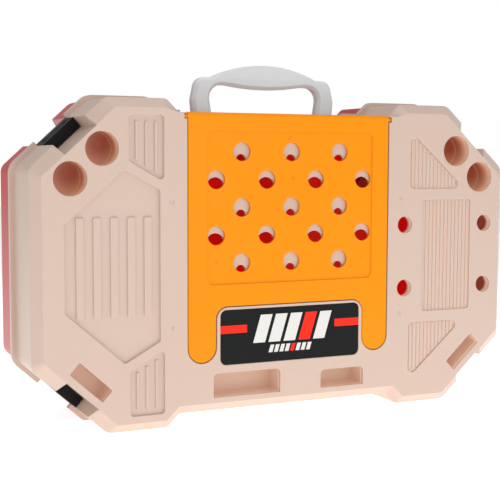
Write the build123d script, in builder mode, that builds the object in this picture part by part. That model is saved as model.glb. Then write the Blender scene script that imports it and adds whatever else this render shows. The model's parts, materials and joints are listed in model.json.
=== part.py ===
# Toy tool case with a pegboard worktop, closed and standing on its bottom edge.
# Millimetres. X runs to the right of the worktop, Y from the worktop to the back, Z up.
# The origin is the middle of the case's footprint, on the surface that it stands on.

import os
from math import atan2, degrees, hypot, sqrt

from build123d import *

os.makedirs("parts", exist_ok=True)

# Case outline, seen from the front
case_half_width = 212.0
case_half_height = 128.5
corner_width = 58.5
corner_height = 53.5
centre_half_height = 118.4
wing_inner_edge = 104.8
corner_radius = 10.0
wing_end_radius = 6.0
waist_radius = 2.0
least_radius = 1.0

# Case section
front_depth = 61.0
rear_depth = 54.5
wall = 2.5
bevel_width = 7.5
corner_bevel_width = 9.5
middle_bevel_width = 0.4
waist_slant = 6.0
bevel_depth = 8.5
rim_height = 3.9
rim_width = 4.5
cut_margin = 1.0

# Peg holes and worktop holes
hole_pitch = 22.0
peg_hole_radius = 7.4
peg_grid_above_middle = 44.0
floor_hole_drop = 6.0
floor_hole_large = 8.0
floor_hole_small = 4.2
bench_hole_radius = 7.2
bench_hole_depth = 7.0
bench_hole_from_side = 23.2
bench_hole_from_panel = 17.3
bench_hole_spacing = 54.0

# Pegboard panel
panel_half_width = 90.0
panel_thickness = 3.0
panel_leg_width = 23.6
panel_leg_bottom = 77.9
panel_notch_top = 34.3
panel_notch_radius = 10.0
panel_gap = 0.7
inset_from_side = 15.4
inset_bottom = 16.7
inset_from_top = 13.4
inset_radius = 6.0
inset_depth = 1.0
hinge_bead_radius = 3.2
pivot_radius = 2.1
pivot_length = 3.0
panel_edge_chamfer = 0.7
recess_depth = 3.5
hinge_groove_height = 8.0
hinge_groove_depth = 7.0

# Label plate
label_from_leg = 3.7
label_from_notch = 2.9
label_bottom = 81.0
label_thickness = 0.5
label_recess = 0.6
label_gap = 0.3
label_radius = 5.0

# Cups and pockets of the worktop
cup_radius = 13.0
cup_depth = 20.0
cup_spacing = 33.2
cup_shift = 6.8
cup_inside_corner = 25.2
slot_length = 34.4
slot_width = 11.8
slot_depth = 20.0
slot_inside_corner = 21.2
slot_radius = 1.5
wide_pocket_left = -68.6
wide_pocket_right = -9.9
wide_pocket_top = 87.3
narrow_pocket_left = 27.3
narrow_pocket_right = 67.8
narrow_pocket_top = 91.5
pocket_bottom = 106.6
pocket_depth = 22.0
pocket_radius = 4.0
pocket_low_radius = 0.8

# Sunken areas with ribs
sunken_depth = 2.0
sunken_radius = 3.0
sunken_from_panel = 22.9
sunken_from_side = 24.1
hexagon_shoulder = 58.4
hexagon_peak = 74.0
hexagon_corner = 33.3
hexagon_peak_from_side = 70.3
wide_rib_width = 6.0
wide_rib_pitch = 13.35
wide_rib_shift = 1.1
wide_rib_half_length = 38.0
wide_rib_radius = 1.0
rib_height = 1.2
trapezoid_from_panel = 19.6
trapezoid_width = 28.0
trapezoid_top = 115.3
trapezoid_low = 64.5
trapezoid_slant = 15.8
thin_rib_width = 2.0
thin_rib_pitch = 7.7
rib_end_gap = 4.8
reed_pitch = 3.8
reed_groove = 1.2
reed_margin = 0.6
reeded_half_height = 48.0
reeded_from_panel = 35.2
reeded_from_side = 37.8
triangle_base = 57.2
triangle_top = 106.2
triangle_width = 55.8
triangle_from_panel = 22.2
triangle_radius = 4.5

# Rear face
rear_area_depth = 1.6
rear_area_half_height = 80.0
rear_area_radius = 10.0
rear_rib_pitch = 28.0
rear_rib_radius = 2.0

# Latches
latch_recess_length = 33.0
latch_shift = 2.0
latch_gap = 0.5
latch_thickness = 9.3
latch_reach = 19.25
latch_plate_thickness = 5.3
lip_width = 3.0
ridge_width = 3.0
latch_pin_from_parting = 4.75
latch_pin_radius = 1.5
latch_pin_overhang = 3.0
ear_thickness = 3.5
groove_from_front = 10.0
groove_from_end = 3.5
groove_width = 9.0
groove_depth = 0.9
pin_clearance = 0.05

# Carry handle
handle_from_parting = 4.0
handle_half_width = 65.8
handle_widest_rise = 12.6
handle_foot_inset = 1.3
handle_foot_width = 16.3
handle_leg_width = 15.5
handle_thickness = 11.0
handle_top_rise = 42.2
handle_shoulder_rise = 31.1
handle_shoulder_inset = 4.0
handle_crown_from_side = 17.3
handle_crease_rise = 30.1
handle_crown_lean = 3.5
handle_underside_rise = 22.0
handle_bulge = 3.0
handle_inside_corner = 15.3
handle_corner_radius = 9.0
handle_inside_radius = 10.5
handle_bend_radius = 12.0
handle_edge_chamfer = 2.5
handle_pivot_drop = 8.4
handle_pin_radius = 2.5
handle_pin_short = 1.0
handle_gap = 0.6
well_depth = 15.5
well_back_gap = 2.15
well_front_gap = 4.8
well_above = 20.0
lug_radius = 6.0
lug_length = 12.0
lug_width = 8.0

# Toy tools, held in clips on the rear wall
tool_from_floor = 21.25
tool_gap = 0.3
clip_wall = 2.5
clip_width = 8.0
hammer_clip_heights = (10.0, -60.0)
driver_clip_heights = (-10.0, -85.0)
hammer_from_side = 62.0
hammer_head_height = 62.0
hammer_head_radius = 14.0
hammer_head_length = 66.0
hammer_neck_radius = 10.5
hammer_neck_length = 12.0
hammer_neck_slope = 4.0
hammer_tip_radius = 5.0
hammer_edge = 1.5
hammer_socket_wall = 3.0
hammer_shaft_radius = 8.0
hammer_grip_radius = 11.0
hammer_grip_length = 75.0
hammer_grip_slope = 8.0
hammer_grip_edge = 3.0
hammer_low = 98.0
driver_from_hammer = 32.0
driver_grip_radius = 12.0
driver_grip_low = -45.0
driver_grip_high = 25.0
driver_end_radius = 6.0
driver_collar_radius = 7.0
driver_waist_radius = 8.0
driver_waist_length = 10.0
driver_flute_count = 6
driver_flute_radius = 2.6
driver_flute_offset = 1.4
driver_flute_low = 22.0
driver_flute_length = 34.0
driver_shaft_radius = 3.0
driver_shaft_low = -112.0
driver_shaft_inside = 30.0
driver_tip_length = 9.0
driver_tip_thickness = 1.2
spanner_from_side = 29.0
spanner_thickness = 7.0
spanner_width = 12.0
spanner_low = -48.0
spanner_high = 31.0
spanner_head_radius = 13.5
spanner_jaw = 13.0
spanner_jaw_floor = 1.5
saw_left = -90.0
saw_back = -62.0
saw_length = 128.0
saw_toe_width = 16.0
saw_heel_width = 36.0
saw_tooth_pitch = 8.0
saw_tooth_depth = 4.0
saw_blade_thickness = 2.4
saw_tang = 16.0
saw_tang_drop = 8.0
saw_grip_thickness = 14.0
saw_grip_length = 62.0
saw_grip_height = 50.0
saw_grip_chamfer = 2.5
saw_grip_radius = 12.0
saw_grip_rise = 4.0
saw_loop_length = 26.0
saw_loop_height = 24.0
saw_loop_radius = 9.0
saw_loop_shift = 8.0
rack_from_side = 82.0
rack_height = 75.0
rack_pitch = 30.0
bolt_radius = 6.5
bolt_head_radius = 12.0
bolt_head_height = 8.0
bolt_length = 29.0
socket_from_floor = 31.25
nut_radius = 13.0
nut_bore = 7.0
nut_height = 12.0
nut_drop = 80.0

# Sizes that follow from the driving sizes
case_depth = front_depth + rear_depth
face_y = -case_depth / 2
back_y = case_depth / 2
parting_y = face_y + front_depth
middle = case_half_height
root_two = sqrt(2)
corner_length = hypot(corner_width, corner_height)
corner_angle = degrees(atan2(corner_height, corner_width))
lean_x = corner_height / corner_length
lean_z = corner_width / corner_length
corner_middle_x = case_half_width - corner_width / 2
corner_middle_z = case_half_height - corner_height / 2
panel_top = centre_half_height
panel_leg_inner = panel_half_width - panel_leg_width
inset_half_width = panel_half_width - inset_from_side
inset_top = panel_top - inset_from_top
label_half_width = panel_leg_inner - label_from_leg
label_top = panel_notch_top + label_from_notch
hinge_height = panel_top - hinge_bead_radius
hinge_inset = hinge_bead_radius
pivot_reach = panel_half_width + pivot_length
latch_front = parting_y - latch_reach
latch_pin_y = parting_y + latch_pin_from_parting
latch_recess_depth = latch_thickness + latch_gap
ridge_y = latch_front + lip_width + latch_gap + ridge_width / 2
handle_y = parting_y - handle_from_parting
handle_top = centre_half_height + handle_top_rise
handle_shoulder = centre_half_height + handle_shoulder_rise
handle_crease = centre_half_height + handle_crease_rise
handle_widest = centre_half_height + handle_widest_rise
handle_underside = centre_half_height + handle_underside_rise
handle_pivot_height = centre_half_height - handle_pivot_drop
handle_crown_start = handle_half_width - handle_crown_from_side
handle_inner = handle_half_width - handle_leg_width
handle_underside_half = handle_inner - handle_inside_corner
well_half_width = handle_half_width + 2 * handle_gap + lug_width
well_front = handle_y - handle_thickness / 2 - well_front_gap
well_back = handle_y + handle_top - handle_pivot_height + well_back_gap
handle_foot_outer = handle_half_width - handle_foot_inset
handle_foot_inner = handle_foot_outer - handle_foot_width
handle_foot_middle = (handle_foot_outer + handle_foot_inner) / 2
lug_centres = (
    handle_foot_inner - handle_gap - lug_width / 2,
    handle_foot_outer + handle_gap + lug_width / 2,
)
floor_y = back_y - wall
tool_y = floor_y - tool_from_floor
socket_front = floor_y - socket_from_floor
nut_seat_y = floor_y - rear_area_depth
hammer_x = hammer_from_side - case_half_width
driver_x = hammer_x + driver_from_hammer
spanner_x = spanner_from_side - case_half_width
rack_x = case_half_width - rack_from_side
saw_heel = saw_left + saw_length


def facing(y):
    """Plane parallel to the worktop at depth y, with its origin at mid-height of the case."""
    return Plane(origin=(0, y, middle), x_dir=(1, 0, 0), z_dir=(0, -1, 0))


def corner_point(side, level, along, inward):
    """Point of the front view, measured along a slanted corner and inwards from it."""
    x = corner_middle_x + along * lean_z - inward * lean_x
    z = corner_middle_z - along * lean_x - inward * lean_z
    return (side * x, level * z)


def corner_plane(side, level, outward):
    """Plane along a slanted corner at its latch: normal pointing out, second axis along +Y."""
    x, z = corner_point(side, level, -latch_shift, -outward)
    return Plane(
        origin=(x, 0, middle + z),
        x_dir=(level * lean_z, 0, -side * lean_x),
        z_dir=(side * lean_x, 0, level * lean_z),
    )


def latch_section(side, level):
    """Plane across a slanted corner: first axis along +Y, second pointing out of the corner."""
    x, z = corner_point(side, level, -latch_shift, 0)
    return Plane(
        origin=(x, 0, middle + z), x_dir=(0, 1, 0), z_dir=(level * lean_z, 0, -side * lean_x)
    )


corners = [(side, level) for side in (-1, 1) for level in (-1, 1)]


def case_outline(inset=0.0, corner_inset=None, middle_inset=None, waist_shift=0.0):
    """Front view of the case: two wings with slanted corners and a lower middle."""
    corner_inset = inset if corner_inset is None else corner_inset
    middle_inset = inset if middle_inset is None else middle_inset
    half_width = case_half_width - inset
    half_height = case_half_height - inset
    slant = corner_middle_x * lean_x + corner_middle_z * lean_z - corner_inset
    slant_x = (slant - half_height * lean_z) / lean_x
    slant_z = (slant - half_width * lean_x) / lean_z
    step = wing_inner_edge - case_half_height + inset * root_two
    lower = centre_half_height - inset
    upper = centre_half_height - middle_inset
    right = [
        (step + lower, -lower),
        (step + half_height, -half_height),
        (slant_x, -half_height),
        (half_width, -slant_z),
        (half_width, slant_z),
        (slant_x, half_height),
        (step + half_height, half_height),
        (step + upper - waist_shift, upper),
    ]
    left = [(-x, z) for x, z in reversed(right)]
    large = max(corner_radius - inset, least_radius)
    end = max(wing_end_radius - inset, least_radius)
    half_radii = [waist_radius, end, large, large, large, large, end, waist_radius]
    with BuildLine() as path:
        FilletPolyline(*right, *left, radius=half_radii + half_radii, close=True)
    make_face(path.edges())


def face_outline(inset=0.0, middle_inset=middle_bevel_width):
    """Front view of the worktop, inside the bevel that runs round it."""
    case_outline(bevel_width + inset, corner_bevel_width + inset, middle_inset, waist_slant)


def panel_outline(top, gap=0.0):
    """Front view of the pegboard panel, with two round-ended legs."""
    outer = panel_half_width + gap
    inner = panel_leg_inner - gap
    notch = -panel_notch_top - gap
    leg_centre = (outer + inner) / 2
    leg_radius = (outer - inner) / 2
    leg_end = leg_radius - panel_leg_bottom - gap
    bend = panel_notch_radius - gap
    bow = bend / root_two
    with BuildLine() as path:
        Polyline((0, top), (outer, top), (outer, leg_end))
        ThreePointArc((outer, leg_end), (leg_centre, leg_end - leg_radius), (inner, leg_end))
        Line((inner, leg_end), (inner, notch - bend))
        ThreePointArc(
            (inner, notch - bend),
            (inner - bend + bow, notch - bend + bow),
            (inner - bend, notch),
        )
        Line((inner - bend, notch), (0, notch))
        mirror(about=Plane.YZ)
    make_face(path.edges())


def label_outline(gap=0.0):
    """Front view of the label plate, rounded at the top."""
    with Locations((0, -(label_top + label_bottom) / 2)):
        RectangleRounded(
            2 * (label_half_width + gap), label_bottom - label_top + 2 * gap, label_radius + gap
        )


def cups(extra=0.0):
    """Two round cups along each upper slanted corner."""
    for side in (-1, 1):
        for step in (-1, 1):
            along = cup_shift + step * cup_spacing / 2
            with Locations(corner_point(side, 1, along, cup_inside_corner)):
                Circle(cup_radius + extra)


def slanted_slots(extra=0.0):
    """One long pocket along each lower slanted corner."""
    for side in (-1, 1):
        with Locations(Location((*corner_point(side, -1, 0, slot_inside_corner), 0), side * corner_angle)):
            RectangleRounded(slot_length + 2 * extra, slot_width + 2 * extra, slot_radius + extra)


def front_pockets(extra=0.0):
    """Two open pockets below the label, side by side."""
    spans = [
        (wide_pocket_left, wide_pocket_right, wide_pocket_top),
        (narrow_pocket_left, narrow_pocket_right, narrow_pocket_top),
    ]
    for left, right, top in spans:
        points = [
            (left - extra, -pocket_bottom - extra),
            (left - extra, extra - top),
            (right + extra, extra - top),
            (right + extra, -pocket_bottom - extra),
        ]
        bends = [pocket_low_radius, pocket_radius + extra, pocket_radius + extra, pocket_low_radius]
        with BuildLine() as path:
            FilletPolyline(*points, radius=bends, close=True)
        make_face(path.edges())


def bench_holes(extra=0.0):
    """Four holes at the right of the worktop."""
    x_low = panel_half_width + bench_hole_from_panel
    x_high = case_half_width - bench_hole_from_side
    with Locations(((x_low + x_high) / 2, 0)):
        with GridLocations(x_high - x_low, bench_hole_spacing, 2, 2):
            Circle(bench_hole_radius + extra)


def peg_points(rows):
    """Centres of the peg holes in the given rows, numbered from the top."""
    points = []
    for row in rows:
        columns = (-2, 0, 2) if row % 2 == 0 else (-3, -1, 1, 3)
        z = peg_grid_above_middle + (2 - row) * hole_pitch
        points += [(column * hole_pitch, z) for column in columns]
    return points


def hexagon(extra=0.0):
    """Sunken area at the left of the worktop."""
    inner = panel_half_width + sunken_from_panel - extra
    outer = case_half_width - sunken_from_side + extra
    peak = case_half_width - hexagon_peak_from_side
    points = [
        (-inner, hexagon_shoulder),
        (-peak, hexagon_peak + extra),
        (-outer, hexagon_corner),
        (-outer, -hexagon_corner),
        (-peak, -hexagon_peak - extra),
        (-inner, -hexagon_shoulder),
    ]
    with BuildLine() as path:
        FilletPolyline(*points, radius=sunken_radius, close=True)
    make_face(path.edges())


def trapezoids(extra=0.0):
    """Sunken areas above and below the hexagon."""
    inner = panel_half_width + trapezoid_from_panel - extra
    outer = inner + trapezoid_width + 2 * extra
    for level in (-1, 1):
        points = [
            (-inner, level * (trapezoid_low - extra)),
            (-inner, level * (trapezoid_top + extra)),
            (-outer, level * (trapezoid_top + extra)),
            (-outer, level * (trapezoid_low + trapezoid_slant - extra)),
        ]
        with BuildLine() as path:
            FilletPolyline(*points, radius=sunken_radius, close=True)
        make_face(path.edges())


def reeded_areas(extra=0.0):
    """Sunken rectangle and two triangles at the right of the worktop."""
    low = panel_half_width + reeded_from_panel
    high = case_half_width - reeded_from_side
    with Locations(((low + high) / 2, 0)):
        RectangleRounded(
            high - low + 2 * extra, 2 * (reeded_half_height + extra), sunken_radius + extra
        )
    start = panel_half_width + triangle_from_panel - extra
    for level in (-1, 1):
        points = [
            (start, level * (triangle_base - extra)),
            (start, level * (triangle_top + 2 * extra)),
            (start + triangle_width + 3 * extra, level * (triangle_base - extra)),
        ]
        with BuildLine() as path:
            FilletPolyline(*points, radius=triangle_radius, close=True)
        make_face(path.edges())


def wide_ribs():
    """Five raised ribs in the hexagon."""
    inner = panel_half_width + sunken_from_panel
    outer = case_half_width - sunken_from_side
    with Locations((wide_rib_shift - (inner + outer) / 2, 0)):
        with GridLocations(wide_rib_pitch, 0, 5, 1):
            RectangleRounded(wide_rib_width, 2 * wide_rib_half_length, wide_rib_radius)


def thin_ribs():
    """Three raised ribs in each trapezoid, ending along its slanted edge."""
    start = panel_half_width + trapezoid_from_panel + trapezoid_width / 2
    slope = trapezoid_slant / trapezoid_width
    for level in (-1, 1):
        for step in (-1, 0, 1):
            x = start + step * thin_rib_pitch
            low = trapezoid_low + slope * (trapezoid_width / 2 + step * thin_rib_pitch) + rib_end_gap
            high = trapezoid_top - rib_end_gap
            with Locations((-x, level * (low + high) / 2)):
                Rectangle(thin_rib_width, high - low)


def reeds():
    """Upright reeds that fill the reeded areas, with narrow grooves between them."""
    low = panel_half_width + triangle_from_panel
    high = case_half_width - reeded_from_side
    count = int((high - low) / reed_pitch) + 1
    reeded_areas(-reed_margin)
    with Locations(((low + high) / 2, 0)):
        with GridLocations(reed_pitch, 0, count, 1):
            Rectangle(reed_groove, 2 * triangle_top, mode=Mode.SUBTRACT)


# Solid form of the front half, before it is hollowed
with BuildPart() as front_form:
    with BuildSketch(facing(face_y)):
        face_outline()
    with BuildSketch(facing(face_y + bevel_depth)):
        case_outline()
    loft(ruled=True)
    with BuildSketch(facing(face_y + bevel_depth)):
        case_outline()
    extrude(amount=bevel_depth - front_depth)

# Thicker places inside the front half, behind everything that is sunk into the worktop
with BuildPart() as front_backing:
    backing_y = face_y + wall / 2
    with BuildSketch(facing(backing_y)):
        panel_outline(panel_top, panel_gap + wall)
    extrude(amount=wall / 2 - recess_depth - wall)
    with BuildSketch(facing(backing_y)):
        with Locations((0, panel_top - hinge_groove_height / 2)):
            Rectangle(2 * (pivot_reach + wall), hinge_groove_height + 2 * wall)
    extrude(amount=wall / 2 - hinge_groove_depth - wall)
    with BuildSketch(facing(backing_y)):
        label_outline(wall)
    extrude(amount=-wall)
    with BuildSketch(facing(backing_y)):
        hexagon(wall)
        trapezoids(wall)
        reeded_areas(wall)
    extrude(amount=wall / 2 - sunken_depth - wall)
    with BuildSketch(facing(backing_y)):
        bench_holes(wall)
    extrude(amount=wall / 2 - bench_hole_depth)
    with BuildSketch(facing(backing_y)):
        cups(wall)
    extrude(amount=wall / 2 - cup_depth - wall)
    with BuildSketch(facing(backing_y)):
        slanted_slots(wall)
    extrude(amount=wall / 2 - slot_depth - wall)
    with BuildSketch(facing(backing_y)):
        front_pockets(wall)
    extrude(amount=wall / 2 - pocket_depth - wall)
    for side, level in corners:
        with BuildSketch(corner_plane(side, level, -latch_recess_depth - wall)):
            with Locations((0, (face_y + parting_y) / 2)):
                Rectangle(latch_recess_length + 2 * ear_thickness, front_depth)
        extrude(amount=latch_recess_depth + wall)
    with BuildSketch(facing(well_front - wall)):
        with Locations((0, centre_half_height - (well_depth + wall) / 2)):
            Rectangle(2 * (well_half_width + wall), well_depth + wall)
    extrude(amount=well_front - wall - parting_y)
    add(front_form.part, mode=Mode.INTERSECT)

with BuildPart() as front_shell:
    add(front_form.part)
    with BuildSketch(facing(parting_y)):
        case_outline(-rim_height)
    extrude(amount=rim_width)
    with BuildSketch(facing(face_y + wall)):
        face_outline(wall / 2, middle_inset=wall)
    with BuildSketch(facing(face_y + bevel_depth + wall / 2)):
        case_outline(wall)
    loft(ruled=True, mode=Mode.SUBTRACT)
    with BuildSketch(facing(face_y + bevel_depth + wall / 2)):
        case_outline(wall)
    extrude(amount=bevel_depth + wall / 2 - front_depth, mode=Mode.SUBTRACT)
    add(front_backing.part)
    # Everything that is sunk into the worktop
    with BuildSketch(facing(face_y)):
        panel_outline(panel_top + cut_margin, panel_gap)
    extrude(amount=-recess_depth, mode=Mode.SUBTRACT)
    with BuildSketch(facing(face_y)):
        with Locations((0, panel_top + cut_margin - hinge_groove_height / 2)):
            Rectangle(2 * (panel_half_width + panel_gap), hinge_groove_height + 2 * cut_margin)
    extrude(amount=-hinge_groove_depth, mode=Mode.SUBTRACT)
    with BuildSketch(facing(face_y)):
        with Locations((0, hinge_height)):
            Rectangle(2 * pivot_reach + 2 * pin_clearance, 2 * (pivot_radius + pin_clearance))
    extrude(amount=-hinge_inset, mode=Mode.SUBTRACT)
    with BuildSketch(Plane.YZ):
        with Locations((face_y + hinge_inset, middle + hinge_height)):
            Circle(pivot_radius + pin_clearance)
    extrude(amount=pivot_reach + pin_clearance, both=True, mode=Mode.SUBTRACT)
    with BuildSketch(facing(face_y)):
        label_outline(label_gap)
    extrude(amount=-label_recess, mode=Mode.SUBTRACT)
    with BuildSketch(facing(face_y)):
        hexagon()
        trapezoids()
        reeded_areas()
    extrude(amount=-sunken_depth, mode=Mode.SUBTRACT)
    with BuildSketch(facing(face_y)):
        cups()
    extrude(amount=-cup_depth, mode=Mode.SUBTRACT)
    with BuildSketch(facing(face_y)):
        slanted_slots()
    extrude(amount=-slot_depth, mode=Mode.SUBTRACT)
    with BuildSketch(facing(face_y)):
        front_pockets()
    extrude(amount=-pocket_depth, mode=Mode.SUBTRACT)
    with BuildSketch(facing(face_y)):
        bench_holes()
        with Locations([(x, z - floor_hole_drop) for x, z in peg_points((1, 3))]):
            Circle(floor_hole_large)
        with Locations([(x, z - floor_hole_drop) for x, z in peg_points((0, 2, 4))]):
            Circle(floor_hole_small)
    extrude(amount=-bench_hole_depth, mode=Mode.SUBTRACT)
    # Raised ribs in the sunken areas
    with BuildSketch(facing(face_y + sunken_depth)):
        wide_ribs()
        thin_ribs()
        reeds()
    extrude(amount=rib_height)
    # Latch recesses on the slanted corners, each with the ridge that its latch hooks over
    for side, level in corners:
        with BuildSketch(corner_plane(side, level, -latch_recess_depth)):
            with Locations((0, (face_y + parting_y) / 2)):
                Rectangle(latch_recess_length, front_depth)
        extrude(amount=latch_recess_depth + 2 * rim_height, mode=Mode.SUBTRACT)
        with BuildSketch(corner_plane(side, level, -latch_recess_depth)):
            with Locations((0, ridge_y)):
                Rectangle(latch_recess_length, ridge_width)
        extrude(amount=latch_recess_depth - latch_plate_thickness - latch_gap)
    # Well for the handle's feet, open towards the back
    with BuildSketch(facing(well_front)):
        with Locations((0, centre_half_height - well_depth / 2 + well_above / 2)):
            Rectangle(2 * well_half_width, well_depth + well_above)
    extrude(amount=well_front - parting_y, mode=Mode.SUBTRACT)
    # The rim is cut level with the base
    with BuildSketch(facing(parting_y)):
        with Locations((0, -middle - rim_height)):
            Rectangle(2 * case_half_width, 2 * rim_height)
    extrude(amount=front_depth, mode=Mode.SUBTRACT)
front_shell.part.label = "front_shell"
export_step(front_shell.part, "parts/front_shell.step")


def rear_areas(extra=0.0):
    """Sunken areas of the rear face: one in each wing and one in the middle."""
    inner = panel_half_width + sunken_from_panel
    outer = case_half_width - sunken_from_side
    width = outer - inner + 2 * extra
    for side in (-1, 1):
        with Locations((side * (inner + outer) / 2, 0)):
            RectangleRounded(width, 2 * (rear_area_half_height + extra), rear_area_radius)
    RectangleRounded(
        2 * (panel_half_width + extra), 2 * (rear_area_half_height + extra), rear_area_radius
    )


def vertical_rod(x, radius, low, high):
    """Round rod standing at x in the row of tools, from one height to another."""
    with BuildSketch(Plane.XY.offset(middle + low)) as rod_end:
        with Locations((x, tool_y)):
            Circle(radius)
    extrude(rod_end.sketch, amount=high - low)


rear_area_rows = (-2, -1, 0, 1, 2)
clips = [
    (hammer_x, hammer_clip_heights[0], hammer_shaft_radius),
    (hammer_x, hammer_clip_heights[1], hammer_grip_radius),
    (driver_x, driver_clip_heights[0], driver_grip_radius),
    (driver_x, driver_clip_heights[1], driver_shaft_radius),
]
bolt_points = [
    (rack_x + step_x * rack_pitch / 2, rack_height + step_z * rack_pitch / 2)
    for step_x in (-1, 1)
    for step_z in (-1, 1)
]
nut_points = [(x, z - rack_height - nut_drop) for x, z in bolt_points]

# Solid form of the rear half, before it is hollowed
with BuildPart() as rear_form:
    with BuildSketch(facing(parting_y)):
        case_outline()
    extrude(amount=bevel_depth - rear_depth)
    with BuildSketch(facing(back_y - bevel_depth)):
        case_outline()
    with BuildSketch(facing(back_y)):
        case_outline(bevel_width, corner_bevel_width)
    loft(ruled=True)

# Thicker places inside the rear half
with BuildPart() as rear_backing:
    with BuildSketch(facing(back_y - wall / 2)):
        rear_areas(wall)
    extrude(amount=wall / 2 + rear_area_depth)
    for side, level in corners:
        with BuildSketch(corner_plane(side, level, -latch_recess_depth - wall)):
            with Locations((0, (parting_y + back_y) / 2)):
                Rectangle(latch_recess_length + 2 * ear_thickness, rear_depth)
        extrude(amount=latch_recess_depth + wall)
    with BuildSketch(facing(parting_y)):
        with Locations((0, centre_half_height - (well_depth + wall) / 2)):
            Rectangle(2 * (well_half_width + wall), well_depth + wall)
    extrude(amount=parting_y - well_back - wall)
    add(rear_form.part, mode=Mode.INTERSECT)

with BuildPart() as rear_shell:
    add(rear_form.part)
    with BuildSketch(facing(parting_y)):
        case_outline(wall)
    extrude(amount=bevel_depth + wall / 2 - rear_depth, mode=Mode.SUBTRACT)
    with BuildSketch(facing(back_y - bevel_depth - wall / 2)):
        case_outline(wall)
    with BuildSketch(facing(floor_y)):
        case_outline(bevel_width + wall / 2, corner_bevel_width + wall / 2)
    loft(ruled=True, mode=Mode.SUBTRACT)
    add(rear_backing.part)
    with BuildSketch(facing(back_y)):
        rear_areas()
    extrude(amount=rear_area_depth, mode=Mode.SUBTRACT)
    with BuildSketch(facing(back_y - rear_area_depth)):
        for row in rear_area_rows:
            with Locations((0, row * rear_rib_pitch)):
                RectangleRounded(
                    2 * panel_half_width - 2 * rib_end_gap, wide_rib_width, rear_rib_radius
                )
    extrude(amount=-rear_area_depth / 2)
    # Latch recesses and the holes for the latch pins
    for side, level in corners:
        with BuildSketch(corner_plane(side, level, -latch_recess_depth)):
            with Locations((0, (parting_y + back_y) / 2)):
                Rectangle(latch_recess_length, rear_depth)
        extrude(amount=latch_recess_depth + cut_margin, mode=Mode.SUBTRACT)
        with BuildSketch(latch_section(side, level)):
            with Locations((latch_pin_y, -latch_thickness / 2)):
                Circle(latch_pin_radius + pin_clearance)
        extrude(
            amount=latch_recess_length / 2 + latch_pin_overhang, both=True, mode=Mode.SUBTRACT
        )
    # Well that the handle folds into
    with BuildSketch(facing(parting_y)):
        with Locations((0, centre_half_height - well_depth / 2 + well_above / 2)):
            Rectangle(2 * well_half_width, well_depth + well_above)
    extrude(amount=parting_y - well_back, mode=Mode.SUBTRACT)
    # Lugs either side of each foot of the handle
    for side in (-1, 1):
        for x in lug_centres:
            with BuildSketch(Plane.YZ.offset(side * x)):
                with Locations((handle_y, middle + handle_pivot_height)):
                    Circle(lug_radius)
                with Locations((handle_y + lug_length / 2, middle + handle_pivot_height)):
                    Rectangle(lug_length, 2 * lug_radius)
                with Locations(
                    (
                        (parting_y + handle_y + lug_length) / 2,
                        middle + centre_half_height - well_depth / 2 - lug_radius / 2,
                    )
                ):
                    Rectangle(handle_y + lug_length - parting_y, well_depth - lug_radius)
                with Locations((handle_y, middle + handle_pivot_height)):
                    Circle(handle_pin_radius + pin_clearance, mode=Mode.SUBTRACT)
            extrude(amount=lug_width / 2, both=True)
    # Clips for the round tools
    for x, z, radius in clips:
        with BuildSketch(facing(tool_y)):
            with Locations((x, z)):
                Rectangle(2 * (radius + clip_wall), clip_width)
        extrude(amount=tool_y - back_y + wall / 2)
        with BuildSketch(Plane.XY.offset(middle + z)):
            with Locations((x, tool_y)):
                Circle(radius + tool_gap)
        extrude(amount=clip_width, both=True, mode=Mode.SUBTRACT)
    # Clips for the spanner and the saw
    with BuildSketch(facing(tool_y)):
        with Locations((spanner_x, (spanner_low + spanner_high) / 2)):
            Rectangle(spanner_width + 2 * clip_wall, clip_width)
        with Locations((saw_left + saw_length / 3, saw_back - saw_toe_width / 2)):
            Rectangle(clip_width, saw_toe_width)
        with Locations((saw_heel + saw_grip_length - 2 * clip_width, saw_back)):
            Rectangle(clip_width, clip_width)
    extrude(amount=tool_y - back_y + wall / 2)
    with BuildSketch(facing(tool_y - spanner_thickness)):
        with Locations((spanner_x, (spanner_low + spanner_high) / 2)):
            Rectangle(spanner_width + 2 * tool_gap, 2 * clip_width)
    extrude(amount=-1.5 * spanner_thickness - tool_gap, mode=Mode.SUBTRACT)
    with BuildSketch(facing(tool_y - saw_blade_thickness)):
        with Locations((saw_left + saw_length / 3, saw_back - saw_toe_width)):
            Rectangle(2 * clip_width, 2 * saw_toe_width + 2 * tool_gap)
    extrude(amount=-1.5 * saw_blade_thickness - tool_gap, mode=Mode.SUBTRACT)
    with BuildSketch(facing(tool_y - saw_grip_thickness)):
        with Locations((saw_heel + saw_grip_length / 2, saw_back)):
            Rectangle(2 * saw_grip_length, 2 * saw_grip_height)
    extrude(amount=-1.5 * saw_grip_thickness - tool_gap, mode=Mode.SUBTRACT)
    # Sockets for the bolts and posts for the nuts
    with BuildSketch(facing(socket_front)):
        with Locations(bolt_points):
            Circle(bolt_radius + tool_gap + clip_wall)
            Circle(bolt_radius + tool_gap, mode=Mode.SUBTRACT)
    extrude(amount=socket_front - back_y + wall / 2)
    with BuildSketch(facing(nut_seat_y - 1.5 * nut_height)):
        with Locations(nut_points):
            Circle(nut_bore - tool_gap)
    extrude(amount=nut_seat_y - back_y - 1.5 * nut_height + wall / 2)
    with BuildSketch(facing(nut_seat_y)):
        with Locations(nut_points):
            Circle(nut_radius - wall)
    extrude(amount=nut_seat_y - back_y + wall / 2)
rear_shell.part.label = "rear_shell"
export_step(rear_shell.part, "parts/rear_shell.step")

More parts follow.
